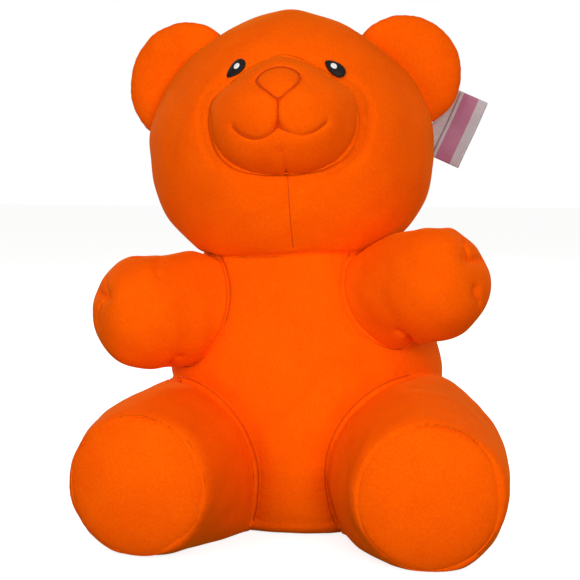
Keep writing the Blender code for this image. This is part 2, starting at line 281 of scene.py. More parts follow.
def velboaPlush(name):
    # velboa: knitted polyester with a cut pile about 1.5 mm long. Matte and full in colour, mottled
    # where the pile lies over, with a faint warm bloom where the eye grazes it
    made, tree, output = newMaterial(name)
    place = add(tree, "ShaderNodeTexCoord").outputs["Object"]
    nap = add(tree, "ShaderNodeTexNoise", {
        "Vector": place, "Scale": 1 / plush["napSize"], "Detail": 3.0, "Roughness": 0.55,
        "Distortion": 0.6})
    # real pile is finer than a tenth of a millimetre; its tufts are drawn coarser so that they show
    pile = add(tree, "ShaderNodeTexNoise", {
        "Vector": place, "Scale": 1 / plush["pileSize"], "Detail": 2.0, "Roughness": 0.6})
    clump = add(tree, "ShaderNodeTexNoise", {
        "Vector": place, "Scale": 1 / plush["clumpSize"], "Detail": 2.0, "Roughness": 0.5})
    mottle = add(tree, "ShaderNodeMath", {0: nap.outputs["Fac"], 1: 0.34}, operation="MULTIPLY")
    grain = add(tree, "ShaderNodeMath", {0: pile.outputs["Fac"], 1: 0.66, 2: mottle.outputs[0]},
                operation="MULTIPLY_ADD")
    spread = add(tree, "ShaderNodeMapRange", {
        "Value": grain.outputs[0], "From Min": 0.33, "From Max": 0.67})
    colour = add(tree, "ShaderNodeMix", {
        "Factor": spread.outputs[0], "A": linear(plush["deep"]), "B": linear(plush["bright"])},
        data_type="RGBA")
    coarse = add(tree, "ShaderNodeBump", {
        "Height": clump.outputs["Fac"], "Strength": 0.25, "Distance": 0.0005})
    fine = add(tree, "ShaderNodeBump", {
        "Height": pile.outputs["Fac"], "Strength": 0.35, "Distance": 0.0004,
        "Normal": coarse.outputs[0]})
    shader = add(tree, "ShaderNodeBsdfPrincipled", {
        "Base Color": colour.outputs["Result"], "Roughness": 0.95, "Specular IOR Level": 0.03,
        "Sheen Weight": 0.22, "Sheen Roughness": 0.40, "Sheen Tint": linear("FFA808"),
        "Normal": fine.outputs[0]})
    tree.links.new(shader.outputs[0], output.inputs["Surface"])
    return made


def finishThreads(tree, output, pattern, relief, colour, roughness, gloss):
    # a pattern mixes two close colours, under one relief
    shade = add(tree, "ShaderNodeMix", {
        "Factor": pattern.outputs["Fac"], "A": linear(colour[0]), "B": linear(colour[1])},
        data_type="RGBA")
    shader = add(tree, "ShaderNodeBsdfPrincipled", {
        "Base Color": shade.outputs["Result"], "Roughness": roughness, "Specular IOR Level": gloss,
        "Normal": relief.outputs[0]})
    tree.links.new(shader.outputs[0], output.inputs["Surface"])
    return shader


def embroideryThread(name, colour, threadSize, gloss):
    # rayon embroidery thread laid in satin stitch: smooth, close strands that catch a soft gloss
    made, tree, output = newMaterial(name)
    place = add(tree, "ShaderNodeTexCoord").outputs["Object"]
    laid = add(tree, "ShaderNodeMapping", {"Vector": place, "Rotation": (0.0, 0.9, 0.3)})
    # a wave's bands repeat every 0.31 / Scale
    strands = add(tree, "ShaderNodeTexWave", {
        "Vector": laid.outputs[0], "Scale": 0.31 / threadSize, "Distortion": 0.8, "Detail": 1.0})
    relief = add(tree, "ShaderNodeBump", {
        "Height": strands.outputs["Fac"], "Strength": 0.5, "Distance": 0.0003})
    finishThreads(tree, output, strands, relief, colour, 0.5, gloss)
    return made


def satinRibbon(name, colour, threadSize=0.001):
    # woven polyester satin for a sewn-in label: a smooth, slightly glossy face. Its cross threads are
    # about 0.2 mm apart and are drawn at threadSize so that they show
    made, tree, output = newMaterial(name)
    place = add(tree, "ShaderNodeTexCoord").outputs["Object"]
    laid = add(tree, "ShaderNodeMapping", {"Vector": place, "Rotation": (0.0, math.radians(24), 0.0)})
    threads = add(tree, "ShaderNodeTexWave", {
        "Vector": laid.outputs[0], "Scale": 0.31 / threadSize, "Distortion": 0.4},
        bands_direction="Z")
    wear = add(tree, "ShaderNodeTexNoise", {"Vector": place, "Scale": 90.0, "Detail": 3.0})
    relief = add(tree, "ShaderNodeBump", {
        "Height": threads.outputs["Fac"], "Strength": 0.3, "Distance": 0.0002})
    shader = finishThreads(tree, output, wear, relief, colour, 0.45, 0.5)
    shader.inputs["Sheen Weight"].default_value = 0.1
    return made


velboa = velboaPlush("velboaPlush")
# the line thread's darker orange is partly the thread's own colour and partly painted shade of the sewn
# grooves it lies in
threadAndGrooveShade = embroideryThread("threadAndGrooveShade", ("C04000", "D04A00"), 0.0008, 0.1)
eyeThread = embroideryThread("eyeThread", ("0C0404", "1C0C0A"), 0.0006, 0.25)
glintThread = embroideryThread("glintThread", ("E6E4E0", "F6F6F4"), 0.0006, 0.3)
print("materials made")


# head: the shape that the muzzle, ears and eyes are placed on

head = {
    "middle": np.array((-0.012, -0.004, 0.300)),
    "tilt": -2.2, "turn": 4.0,
    "halfWidth": 0.1135, "crown": 0.104, "jaw": 0.107, "front": 0.098, "back": 0.096,
    "crownPower": 1.73,  # under 2 narrows the crown
    "jawPower": 2.16,  # over 2 fills the cheeks
    "throat": 0.020,  # how far the underside leans forward
    "neck": 0.216,
    "rows": 250, "columns": 360,
}
headFrame = turned(head["turn"], head["tilt"])


def fromHead(points):
    return points @ headFrame.T + head["middle"]


def toHead(points):
    return (points - head["middle"]) @ headFrame


def headWidth(level):
    # half width W (1 - |level|^p)^(1/p), where p goes from the jaw's power to the crown's
    power = head["crownPower"] + (head["jawPower"] - head["crownPower"]) * ramp(0.30, -0.30, level)
    return head["halfWidth"] * np.clip(1.0 - np.abs(level) ** power, 0.0, 1.0) ** (1.0 / power)


def headRound(level):
    return np.sqrt(np.clip(1.0 - level**2, 0.0, 1.0))


def throatLean(level):
    return head["throat"] * np.clip(-level, 0.0, 1.0) ** 1.6


def headSkin(directions):
    # a unit sphere's points moved out: at each level an ellipse, whose underside leans forward
    level = directions[..., 2]
    angle = np.arctan2(directions[..., 1], directions[..., 0])
    reach = np.where(directions[..., 1] < 0, head["front"], head["back"])
    return np.stack((headWidth(level) * np.cos(angle),
                     reach * headRound(level) * np.sin(angle) - throatLean(level),
                     np.where(level > 0, head["crown"], head["jaw"]) * level), axis=-1)


def headFace(across, up):
    # how far the face stands from the head's middle plane, at a place seen from the front
    level = np.clip(up / np.where(up > 0, head["crown"], head["jaw"]), -0.999, 0.999)
    side = np.clip(across / headWidth(level), -0.98, 0.98)
    return -head["front"] * headRound(level) * np.sqrt(1.0 - side**2) - throatLean(level)


def onFace(across, up):
    return fromHead(np.stack((across, headFace(across, up), up), axis=-1))


def headOutside(points):
    # level distance from the head's surface, negative inside
    local = toHead(points)
    level = local[..., 2] / np.where(local[..., 2] > 0, head["crown"], head["jaw"])
    held = np.clip(level, -0.995, 0.995)
    ahead = local[..., 1] + throatLean(held)
    reach = np.where(ahead < 0, head["front"], head["back"]) * headRound(held)
    share = np.hypot(local[..., 0] / headWidth(held), ahead / reach)
    far = np.hypot(local[..., 0], ahead)
    return far * (1.0 - 1.0 / np.maximum(share, 1e-6)) + 0.2 * np.maximum(np.abs(level) - 0.995, 0.0)


# torso

torso = {
    # height, half width, reach forward, reach back
    "stations": np.array((
        (0.000, 0.086, 0.070, 0.066),
        (0.004, 0.093, 0.0765, 0.073),
        (0.012, 0.100, 0.0815, 0.081),
        (0.026, 0.1055, 0.0875, 0.0875),
        (0.050, 0.109, 0.0935, 0.0915),
        (0.090, 0.113, 0.0975, 0.094),
        (0.136, 0.107, 0.095, 0.086),
        (0.178, 0.091, 0.087, 0.068),
        (0.216, 0.0745, 0.0785, 0.0440),
    )),
    "power": 2.12,
    "leanFrom": 0.07,
    "rows": 250, "columns": 360,
}


def torsoLean(height):
    return head["middle"][0] * ramp(torso["leanFrom"], head["middle"][2], height)


def torsoOval(height, ahead):
    held = np.clip(height, 0.0, head["neck"])
    at = torso["stations"][:, 0]
    wide, front, back = (stationCurve(at, torso["stations"][:, k], held) for k in (1, 2, 3))
    return wide, np.where(ahead < 0, front, back)


def torsoOutside(points):
    # level distance from the torso's surface, negative inside
    across = points[..., 0] - torsoLean(points[..., 2])
    wide, reach = torsoOval(points[..., 2], points[..., 1])
    power = torso["power"]
    share = (np.abs(across / wide) ** power + np.abs(points[..., 1] / reach) ** power) ** (1 / power)
    return np.hypot(across, points[..., 1]) * (1.0 - 1.0 / np.maximum(share, 1e-6))


def slopeOf(outside, points, step=0.0005):
    # unit direction in which the distance grows fastest, by central differences
    parts = []
    for axis in range(3):
        shift = np.zeros(3)
        shift[axis] = step
        parts.append(outside(points + shift) - outside(points - shift))
    return unit(np.stack(parts, axis=-1))


# limbs: anything sewn on by its open end

def crossing(depth):
    # per column the row, with its fraction, where the distance last turns from inside to outside
    rows = depth.shape[0]
    inside = depth < 0
    last = rows - 1 - np.argmax(inside[::-1], axis=0)
    last = np.where(inside.any(0), np.minimum(last, rows - 2), 0)
    column = np.arange(depth.shape[1])
    low, high = depth[last, column], depth[last + 1, column]
    return last + np.clip(-low / np.maximum(high - low, 1e-9), 0.0, 1.0)


def smoothAround(values, waves=9.0):
    # keeps a closed row's slow changes: each Fourier term times exp(-(count / waves)^2)
    kept = np.exp(-(np.fft.fftfreq(len(values), 1 / len(values)) / waves) ** 2)
    return np.real(np.fft.ifft(np.fft.fft(values) * kept))


def sewnLimb(limbAt, outside, form, sink):
    # limbAt(along, around) gives the bare limb. Its rows are laid again from inside the neighbour to
    # the tip, and near the neighbour it widens by flare * exp(-distance / spread)
    columns = form["columns"]
    around = fullTurn(columns)
    along = np.linspace(0.0, 1.0, 260)
    start = smoothAround(crossing(outside(limbAt(along[:, None], around[None, :]))) / 259.0)
    begin = np.maximum(start - sink, 0.0)
    share = np.linspace(0.0, 1.0, form["rows"])[:, None]
    share = share * (0.55 + 0.45 * share)
    grid = limbAt(begin[None, :] + (1.0 - begin[None, :]) * share, around[None, :])
    near = np.exp(-np.maximum(outside(grid), 0.0) / form["spread"])
    grid = grid + gridNormals(grid) * (form["flare"] * near)[..., None]
    at = np.clip(smoothAround(crossing(outside(grid))), 2.0, form["rows"] - 3.0)
    below = np.floor(at).astype(int)
    column = np.arange(columns)
    part = at - below
    # past the seam the limb stands clear of the neighbour by at least a little, before it it lies well
    # below, each gap opening as 1 - exp(-t / length) with the arc t from the seam
    steps = np.linalg.norm(np.diff(grid, axis=0), axis=2)
    arc = np.vstack((np.zeros(columns), np.cumsum(steps, axis=0)))
    past = arc - (arc[below, column] * (1 - part) + arc[below + 1, column] * part)
    depth = outside(grid)
    clear = sewing["clear"] * (1.0 - np.exp(-np.maximum(past, 0.0) / sewing["clearLength"]))
    under = -sewing["under"] * (1.0 - np.exp(np.minimum(past, 0.0) / sewing["underLength"]))
    move = np.where(past > 0, np.maximum(clear - depth, 0.0), np.minimum(under - depth, 0.0))
    move = move * ramp(sewing["freeFrom"], sewing["heldTo"], np.abs(past))
    grid = grid + slopeOf(outside, grid) * move[..., None]
    part = part[:, None]
    seam = grid[below, column] * (1 - part) + grid[below + 1, column] * part
    return grid, np.vstack((seam, seam[:1]))


def pressFlat(grid, give=0.0012):
    # stuffing gives way to the floor: heights run smoothly into the floor's, as a softplus
    grid[..., 2] = give * np.logaddexp(0.0, grid[..., 2] / give)
    return grid


def pressClear(grid, outside, gap, soft=0.004):
    # pushes a surface out of a neighbour that it leans on, with a soft start
    depth = outside(grid)
    push = soft * np.logaddexp(0.0, (gap - depth) / soft)
    return grid + slopeOf(outside, grid) * push[..., None]


# arms

arms = {
    "arm_right": {"shoulder": (-0.047, -0.018, 0.1772), "paw": (-0.1120, -0.0740, 0.1715),
                  "droop": 0.0025,
                  # the paw's panel seam, fold and dents, as (sideways, up) seen from the front
                  "edge": ((-0.1240, 0.2130), (-0.1294, 0.2105), (-0.1385, 0.2030), (-0.1418, 0.1940),
                           (-0.1400, 0.1856), (-0.1445, 0.1800), (-0.1478, 0.1716), (-0.1490, 0.1620)),
                  "creases": (((-0.0975, 0.1290), (-0.0925, 0.1330), (-0.0870, 0.1368)),
                              ((-0.1048, 0.2140), (-0.1025, 0.2080), (-0.0995, 0.2020)),
                              ((-0.1500, 0.1870), (-0.1440, 0.1857), (-0.1390, 0.1852))),
                  "creaseDepth": (0.0026, 0.0009, 0.0024),
                  "dents": (((-0.1196, 0.2150), 0.0022, 0.006), ((-0.1340, 0.2060), -0.0045, 0.018),
                            ((-0.1300, 0.1400), -0.0015, 0.012))},
    "arm_left": {"shoulder": (0.044, -0.024, 0.1795), "paw": (0.1030, -0.0830, 0.1950),
                 "droop": -0.001,
                 "edge": ((0.1235, 0.2345), (0.1262, 0.2294), (0.1300, 0.2221), (0.1350, 0.2163),
                          (0.1405, 0.2140)),
                 "creases": (((0.0800, 0.1600), (0.0870, 0.1535), (0.0939, 0.1499), (0.1066, 0.1500)),
                             ((0.1290, 0.2172), (0.1350, 0.2163), (0.1420, 0.2158)),
                             ((0.1366, 0.1950), (0.1372, 0.1920), (0.1395, 0.1850))),
                 "creaseDepth": (0.0030, 0.0024, 0.0016),
                 "dents": (((0.1065, 0.2390), 0.0020, 0.005), ((0.1205, 0.2380), -0.0012, 0.008),
                           ((0.1366, 0.1929), 0.0016, 0.004), ((0.1300, 0.1570), -0.0012, 0.010))},
}
armShape = {
    "root": 0.0398, "wrist": 0.0395, "paw": 0.0430, "flat": 0.94,
    "rows": 200, "columns": 300, "flare": 0.0052, "spread": 0.018,
}


def armAt(arm):
    shoulder, paw = np.array(arm["shoulder"]), np.array(arm["paw"])
    reach = np.linalg.norm(paw - shoulder)
    ahead = (paw - shoulder) / reach
    across = unit(np.cross(upright, ahead))
    upward = np.cross(ahead, across)
    handAt = 0.62

    def shape(along, around):
        # rings along the arm up to the paw's middle, then quarter turns of an oval to the tip
        tip = np.clip((along - handAt) / (1.0 - handAt), 0.0, 1.0) * (math.pi / 2)
        forward = np.where(along < handAt, reach * along / handAt,
                           reach + armShape["paw"] * 0.98 * np.sin(tip))
        share = np.clip(along / handAt, 0.0, 1.0)
        thick = stationCurve((0.0, 0.5, 0.8, 1.0), (armShape["root"], armShape["wrist"],
                             armShape["paw"] * 0.985, armShape["paw"]), share)
        thick = thick * np.cos(tip) ** 0.82
        side = thick * armShape["flat"] * np.cos(around)
        up = thick * np.sin(around) - arm["droop"] * ramp(0.35, 1.0, along)
        return (shoulder + forward[..., None] * ahead + side[..., None] * across
                + up[..., None] * upward)

    return shape


# legs and soles

legs = {
    "leg_right": {"back": (-0.058, 0.045, 0.049), "knee": (-0.094, -0.030, 0.051),
                  "sole": (-0.1045, -0.1560, 0.0530), "taller": 0.98, "turn": -7.0},
    "leg_left": {"back": (0.058, 0.045, 0.051), "knee": (0.091, -0.030, 0.055),
                 "sole": (0.1065, -0.1650, 0.0530), "taller": 1.03, "turn": 5.0},
}
legShape = {
    # share of the length, half width, half height
    "stations": np.array((
        (0.00, 0.020, 0.018), (0.05, 0.042, 0.038), (0.15, 0.058, 0.053), (0.32, 0.0660, 0.0640),
        (0.55, 0.0676, 0.0650), (0.80, 0.0630, 0.0620), (0.93, 0.0568, 0.0568), (0.975, 0.0545, 0.0542),
        (1.00, 0.0518, 0.0515),
    )),
    "rows": 190, "columns": 320, "flare": 0.0035, "spread": 0.010, "settled": 0.22,
    "rimAt": 0.93,  # share of the rows that end at the sole's rim
}
soleShape = {
    "radius": 0.0518, "dome": 0.0145, "edgeSunk": 0.0016, "backSunk": 0.0045, "proud": 0.0006,
    "faceTo": 1.25,  # of 2 steps, those that are the front face
    "rows": 120, "columns": 240,
}


def facingOf(leg):
    turn = math.radians(leg["turn"])
    return np.array((math.sin(turn), -math.cos(turn), 0.0))


def legAt(leg):
    back, knee, sole = (np.array(leg[place]) for place in ("back", "knee", "sole"))
    facing = facingOf(leg)
    stations = legShape["stations"]

    def shape(along, around):
        # ovals carried along a quadratic Bezier curve from buttock to sole; the last rows turn in
        # over the rim and close behind the sole
        share = np.clip(along / legShape["rimAt"], 0.0, 1.0)
        shrink = 1.0 - np.clip((along - legShape["rimAt"]) / (1.0 - legShape["rimAt"]), 0.0, 1.0)
        at = share[..., None]
        middle = back * (1 - at) ** 2 + 2 * knee * at * (1 - at) + sole * at**2
        ahead = unit(2 * (knee - back) * (1 - at) + 2 * (sole - knee) * at)
        ahead = ahead + (facing - ahead) * ramp(0.7, 1.0, at)
        across = unit(np.cross(ahead, upright))
        # the lower half is squarer, where the stuffing has settled on the floor
        square = 1.0 - (legShape["settled"] * ramp(0.0, -0.7, np.sin(around)) * ramp(0.1, 0.4, share)
                        * ramp(1.0, 0.7, share))
        wide = signedPower(np.cos(around), square)
        tall = signedPower(np.sin(around), square)
        wide = stationCurve(stations[:, 0], stations[:, 1], share) * shrink * wide
        tall = stationCurve(stations[:, 0], stations[:, 2], share) * shrink * tall
        grid = middle + wide[..., None] * across
        grid[..., 2] += leg["taller"] * tall
        return grid

    return shape


def soleSkin(leg):
    # rings of a disc: the front swells as (1 - r^2.2)^0.8, the back is flat
    facing = facingOf(leg)
    across = unit(np.cross(facing, upright))
    turn = fullTurn(soleShape["columns"])[None, :]
    step = np.linspace(0.0, 2.0, soleShape["rows"])[:, None]
    faceTo = soleShape["faceTo"]
    radius = np.where(step < faceTo, step / faceTo, (2.0 - step) / (2.0 - faceTo))
    radius = np.sin(radius * math.pi / 2)
    dome = np.clip(1 - radius**2.2, 0, 1) ** 0.8 * soleShape["dome"]
    rise = np.where(step < faceTo, dome - soleShape["edgeSunk"], -soleShape["backSunk"])
    reach = radius * soleShape["radius"]
    middle = np.array(leg["sole"])
    grid = (middle + (rise[..., None] + soleShape["proud"]) * facing
            + (reach * np.cos(turn))[..., None] * across + (reach * np.sin(turn))[..., None] * upright)
    rim = middle + soleShape["radius"] * (np.cos(turn.T) * across + np.sin(turn.T) * upright)
    return grid, np.vstack((rim, rim[:1]))


# ears

ears = {
    "ear_right": {"middle": (-0.0862, 0.0520), "along": 0.0490, "across": 0.0438, "slope": 50.0},
    "ear_left": {"middle": (0.0912, 0.0515), "along": 0.0458, "across": 0.0460, "slope": -51.0},
}
earShape = {
    "root": -0.75,  # angle on the oval where the ear starts, inside the head
    "depth": 0.006, "turn": 14.0, "front": 0.0140, "dish": 0.0055, "back": 0.0165,
    "rows": 120, "columns": 240, "flare": 0.0016, "spread": 0.006,
}


def earAt(ear):
    side = math.copysign(1.0, ear["middle"][0])
    slope = math.radians(ear["slope"])
    turn = math.radians(earShape["turn"]) * side
    along, across = ear["along"], ear["across"]
    outward = np.array((-math.sin(slope), math.cos(slope)))
    base = np.array((math.cos(slope), math.sin(slope)))

    def shape(rise, around):
        # chords of an oval from inside the head to the tip; the two faces stand off its plane by
        # t (1 - r^3)^0.5, and the front one is dished by (1 - r^2)^2
        height = across * np.sin(earShape["root"] + (math.pi / 2 - earShape["root"]) * rise)
        chord = along * np.sqrt(np.clip(1.0 - (height / across) ** 2, 0.0, 1.0))
        lateral = chord * np.cos(around)
        radius = np.clip(np.hypot(lateral / along, height / across), 0.0, 1.0)
        fall = np.clip(1.0 - radius**2.6, 0.0, 1.0) ** 0.5
        frontFace = earShape["front"] * fall - earShape["dish"] * (1 - radius**2) ** 2
        thick = np.where(np.sin(around) > 0, -frontFace, earShape["back"] * fall)
        right = lateral * base[0] + height * outward[0]
        up = lateral * base[1] + height * outward[1]
        local = np.stack((ear["middle"][0] + right * math.cos(turn) - thick * math.sin(turn),
                          earShape["depth"] + right * math.sin(turn) + thick * math.cos(turn),
                          ear["middle"][1] + up), axis=-1)
        return fromHead(local)

    return shape


# muzzle

muzzle = {
    "height": 0.0205,  # above the head's middle
    "halfWidth": 0.0555, "up": 0.0440, "down": 0.0450, "browPower": 1.5, "chinPower": 2.5,
    "bulge": 0.0320, "rise": 14.0,  # the snout points up by this angle
    "rimAt": 0.86,  # share of the rows that end at the seam
    "rows": 170, "columns": 400,
}


def muzzleEdge(angle):
    # the seam's distance from the middle: a superellipse, narrower above than below
    power = muzzle["chinPower"] + (muzzle["browPower"] - muzzle["chinPower"]) * ramp(
        -0.35, 0.60, np.sin(angle))
    tall = np.where(np.sin(angle) > 0, muzzle["up"], muzzle["down"])
    across = np.abs(np.cos(angle) / muzzle["halfWidth"]) ** power
    return (across + np.abs(np.sin(angle) / tall) ** power) ** (-1.0 / power)


def muzzleSwell(radius, angle):
    # bulge (1 - r^a)^b: steep over the chin, gentle towards the brow
    brow = ramp(-0.4, 0.9, np.sin(angle))
    steep = 0.66 + 0.16 * brow
    return muzzle["bulge"] * np.clip(1.0 - radius ** (2.3 - 0.3 * brow), 0.0, 1.0) ** steep


def muzzleAt(radius, angle):
    # head-local points of the dome
    reach = radius * muzzleEdge(angle)
    across, up = reach * np.cos(angle), muzzle["height"] + reach * np.sin(angle)
    swell = muzzleSwell(radius, angle)
    rise = math.radians(muzzle["rise"])
    return np.stack((across, headFace(across, up) - swell * math.cos(rise),
                     up + swell * math.sin(rise)), axis=-1)


def onMuzzle(across, up):
    # the dome's point that is seen from the front at this place, found by sliding back and forth
    across, up = np.asarray(across, float), np.asarray(up, float)
    base = up.copy()
    rise = math.sin(math.radians(muzzle["rise"]))
    for _ in range(12):
        angle = np.arctan2(base - muzzle["height"], across)
        radius = np.hypot(across, base - muzzle["height"]) / muzzleEdge(angle)
        base = up - muzzleSwell(np.minimum(radius, 1.0), angle) * rise
    return muzzleAt(np.minimum(radius, 1.0), angle)


# the sewn lines of the face, as seen from the front: sideways and up from the head's middle
faceLines = {
    "nose": ((-0.0012, 0.0560), (0.0080, 0.0545), (0.0146, 0.0496), (0.0140, 0.0438),
             (0.0070, 0.0375), (-0.0008, 0.0322), (-0.0090, 0.0378), (-0.0160, 0.0436),
             (-0.0176, 0.0478), (-0.0110, 0.0538)),
    "lip": ((-0.0008, 0.0322), (-0.0012, 0.0215), (-0.0014, 0.0117)),
    "mouthRight": ((-0.0014, 0.0117), (-0.0075, 0.0062), (-0.0150, 0.0032), (-0.0225, 0.0034),
                   (-0.0300, 0.0068), (-0.0365, 0.0128)),
    "mouthLeft": ((-0.0014, 0.0117), (0.0050, 0.0074), (0.0130, 0.0045), (0.0205, 0.0050),
                  (0.0280, 0.0086), (0.0335, 0.0128)),
    "chin": ((-0.0006, -0.0062), (0.0008, -0.0150), (0.0016, -0.0242)),
}

faceCurves = {}
for name, line in faceLines.items():
    flat = smoothPath(line, 160, closed=name == "nose")
    faceCurves[name] = fromHead(onMuzzle(flat[:, 0], flat[:, 1]))
faceCurves["nose"] = np.vstack((faceCurves["nose"], faceCurves["nose"][:1]))


# all the seams

seamTurn = np.linspace(0.0, 2.0 * math.pi, 420)


def muzzleLoop(scale):
    reach = muzzleEdge(seamTurn) * scale
    across, up = reach * np.cos(seamTurn), muzzle["height"] + reach * np.sin(seamTurn)
    return onFace(across, up)


def neckLoop():
    power = 2.0 / torso["power"]
    height = np.full_like(seamTurn, head["neck"])
    wide, reach = torsoOval(height, np.sin(seamTurn))
    return np.stack((wide * signedPower(np.cos(seamTurn), power) + torsoLean(head["neck"]),
                     reach * signedPower(np.sin(seamTurn), power), height), axis=-1)


def throatLine():
    up = np.linspace(muzzle["height"] - muzzle["down"], -0.078, 120)
    across = 0.0016 + 0.0010 * np.linspace(0.0, 1.0, 120)
    return onFace(across, up)


def headBackLine():
    # from the crown down the back of the head, on its middle plane
    angle = np.linspace(0.02, math.pi * 0.80, 200)
    directions = np.stack((np.zeros(200), np.sin(angle), np.cos(angle)), axis=-1)
    return fromHead(headSkin(directions))


def torsoBackLine():
    height = np.linspace(0.004, head["neck"], 200)
    _, reach = torsoOval(height, np.ones(200))
    return np.stack((torsoLean(height), reach, height), axis=-1)


limbGrids, limbSeams = {}, {}
for name, arm in arms.items():
    limbGrids[name], limbSeams[name] = sewnLimb(armAt(arm), torsoOutside, armShape, 0.10)
for name, leg in legs.items():
    limbGrids[name], limbSeams[name] = sewnLimb(legAt(leg), torsoOutside, legShape, 0.08)
for name, ear in ears.items():
    limbGrids[name], limbSeams[name] = sewnLimb(earAt(ear), headOutside, earShape, 0.04)
print("seams found")


# stuffed pieces

def lumps(grid, seed, small=0.0003, large=0.0012):
    # uneven stuffing: two sizes of soft swelling
    points, normals = asLists(grid)
    swell = large * softNoise(points, 0.075, seed) + small * softNoise(points, 0.026, seed + 50)
    return (points + normals * swell[:, None]).reshape(grid.shape)


def finishStuffed(name, grid):
    piece = closedSkin(name + "Skin", grid, velboa)
    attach(piece, "root")
    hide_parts(name)


def makeHead():
    # rings about the muzzle's axis, so that rows run along the muzzle's seam
    lift = math.asin(muzzle["height"] / head["crown"])
    axis = np.array((0.0, -math.cos(lift), math.sin(lift)))
    upward = np.array((0.0, math.sin(lift), math.cos(lift)))
    step = np.linspace(0.0, math.pi, head["rows"])[:, None]
    turn = fullTurn(head["columns"])[None, :]
    directions = (np.cos(step)[..., None] * axis + (np.sin(step) * np.cos(turn))[..., None]
                  * np.array((1.0, 0.0, 0.0)) + (np.sin(step) * np.sin(turn))[..., None] * upward)
    grid = fromHead(headSkin(directions))
    # the underside closes flat, at most tuck below the neck
    tuck = 0.003
    below = np.maximum(head["neck"] - grid[..., 2], 0.0)
    grid[..., 2] = np.where(below > 0, head["neck"] - tuck * (1 - np.exp(-below / tuck)), grid[..., 2])
    grid = lumps(grid, 11)
    # the muzzle's seam, the folds beside it, and the lines of the throat, back, neck and ears
    grid = sewIn(grid, [
        seamOf(muzzleLoop(1.0), 0.0012, 0.0012, 0.006, 0.0002),
        seamOf(muzzleLoop(1.15)[330:], 0.0, 0.0014, 0.0035),
        seamOf(muzzleLoop(1.15)[:40], 0.0, 0.0014, 0.0035),
        seamOf(muzzleLoop(1.14)[170:250], 0.0, 0.0009, 0.0035),
        seamOf(throatLine(), 0.0013, 0.0004, 0.005, 0.0001, width=0.0013),
        seamOf(headBackLine(), 0.0008, 0.0005, 0.005, 0.0001),
        seamOf(neckLoop(), 0.0010, 0.0006, 0.005, 0.0002),
        seamOf(limbSeams["ear_right"], 0.0008, 0.0016, 0.006, 0.0002),
        seamOf(limbSeams["ear_left"], 0.0008, 0.0016, 0.006, 0.0002)])
    finishStuffed("head", grid)
    return grid


def makeTorso():
    # rings up from the middle of the seat, over its rim, up the body and in again at the neck
    seat, top = 26, 22
    sides = torso["rows"] - seat - top
    share = np.linspace(0.0, 1.0, sides)
    height = np.concatenate((np.zeros(seat), head["neck"] * (0.35 * share**2 + 0.65 * share),
                             np.full(top, head["neck"])))[:, None]
    scale = np.concatenate((np.linspace(0.0, 1.0, seat, endpoint=False), np.ones(sides),
                            np.linspace(1.0, 0.0, top + 1)[1:]))[:, None]
    height, angle = np.broadcast_arrays(height, fullTurn(torso["columns"])[None, :])
    power = 2.0 / torso["power"]
    wide, reach = torsoOval(height, np.sin(angle))
    grid = np.stack((wide * scale * signedPower(np.cos(angle), power) + torsoLean(height),
                     reach * scale * signedPower(np.sin(angle), power), height), axis=-1)
    grid = lumps(grid, 23)
    grid[..., 2] = np.clip(grid[..., 2], 0.0, None)
    seams = [seamOf(neckLoop(), 0.0010, 0.0006, 0.005, 0.0003),
             seamOf(torsoBackLine(), 0.0008, 0.0005, 0.005, 0.0001)]
    seams += [seamOf(limbSeams[name], 0.0010, 0.0008, 0.008, 0.0002) for name in arms]
    seams += [seamOf(limbSeams[name], 0.0012, 0.0028, 0.009, 0.0003) for name in legs]
    finishStuffed("torso", pressFlat(sewIn(grid, seams)))


def onFront(grid, places):
    # the surface's points that stand nearest to places given as (sideways, up) from the front
    points, normals = asLists(grid)
    front = points[normals[:, 1] < 0.25]
    offset = front[:, None, [0, 2]] - np.asarray(places, float)[None]
    return front[(offset**2).sum(-1).argmin(0)]


def makeArm(name, arm):
    grid = lumps(limbGrids[name], 31 if name == "arm_right" else 37)
    points, normals = asLists(grid)
    moved = np.zeros(len(points))
    for place, depth, reach in arm["dents"]:
        distance = np.linalg.norm(points - onFront(grid, [place]), axis=1)
        moved += depth * np.exp(-(distance / reach) ** 2)
    seams = [seamOf(limbSeams[name], 0.0011, 0.0006, 0.007, 0.0002),
             seamOf(smoothPath(onFront(grid, arm["edge"]), 160), 0.0011, 0.0010, 0.0045, 0.0003)]
    for crease, depth in zip(arm["creases"], arm["creaseDepth"]):
        seams.append(seamOf(smoothPath(onFront(grid, crease), 80), depth, depth * 0.8, 0.007,
                            width=0.0026))
    grid = sewIn((points - normals * moved[:, None]).reshape(grid.shape), seams)
    grid = pressClear(grid, headOutside, 0.0008)
    finishStuffed(name, grid)


def makeLeg(name, leg):
    grid = lumps(limbGrids[name], 41 if name == "leg_right" else 43)
    _, rim = soleSkin(leg)
    seams = [seamOf(limbSeams[name], 0.0012, 0.0024, 0.008, 0.0003),
             seamOf(rim, 0.0008, 0.0003, 0.004, 0.0002)]
    finishStuffed(name, pressFlat(sewIn(grid, seams)))


def makeSole(name, leg):
    grid, rim = soleSkin(leg)
    grid = lumps(grid, 47, small=0.0002, large=0.0006)
    grid = sewIn(grid, [seamOf(rim, 0.0006, 0.0004, 0.004, 0.0002)])
    finishStuffed(name, pressFlat(grid))


def makeEar(name):
    grid = lumps(limbGrids[name], 53, large=0.0006)
    edge = np.vstack((grid[8:, 0], grid[::-1, earShape["columns"] // 2][:-8]))
    seams = [seamOf(limbSeams[name], 0.0006, 0.0014, 0.005, 0.0002),
             seamOf(edge, 0.0008, 0.0004, 0.003, 0.0002)]
    finishStuffed(name, sewIn(grid, seams))


